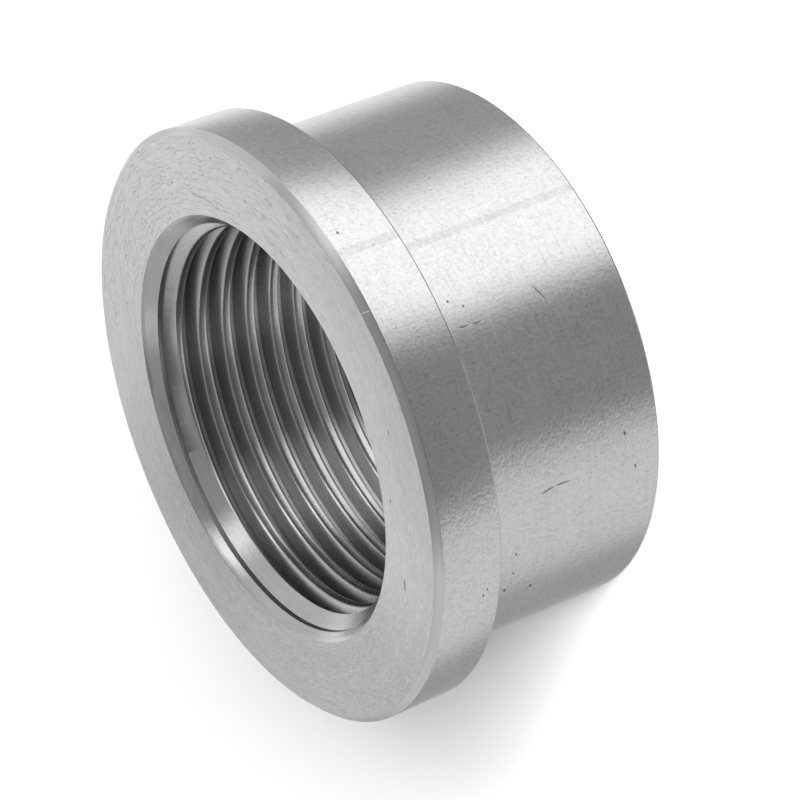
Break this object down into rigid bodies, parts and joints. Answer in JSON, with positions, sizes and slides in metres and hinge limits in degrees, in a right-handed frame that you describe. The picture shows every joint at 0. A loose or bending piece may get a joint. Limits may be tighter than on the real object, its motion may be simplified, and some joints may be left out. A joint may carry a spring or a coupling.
{
  "type": "weld bung",
  "caption": "Round flanged weld-in bung of stainless steel with a plain turned body to sit in a hole and a fine female thread right through, countersunk at the flanged mouth.",
  "frame": {"origin": "centre of the body's end face, on the axis of the bore, where the bung stands", "axes": "+Z along the axis of the bore, from the body's end towards the flange and the mouth of the bore; X and Y are free, because the bung is round"},
  "size_m": [0.0318, 0.0318, 0.0148],
  "materials": {
    "stainless_steel": "fine turned, satin"
  },
  "bodies": {
    "root": {"weld_bung": "stainless_steel"}
  },
  "joints": []
}
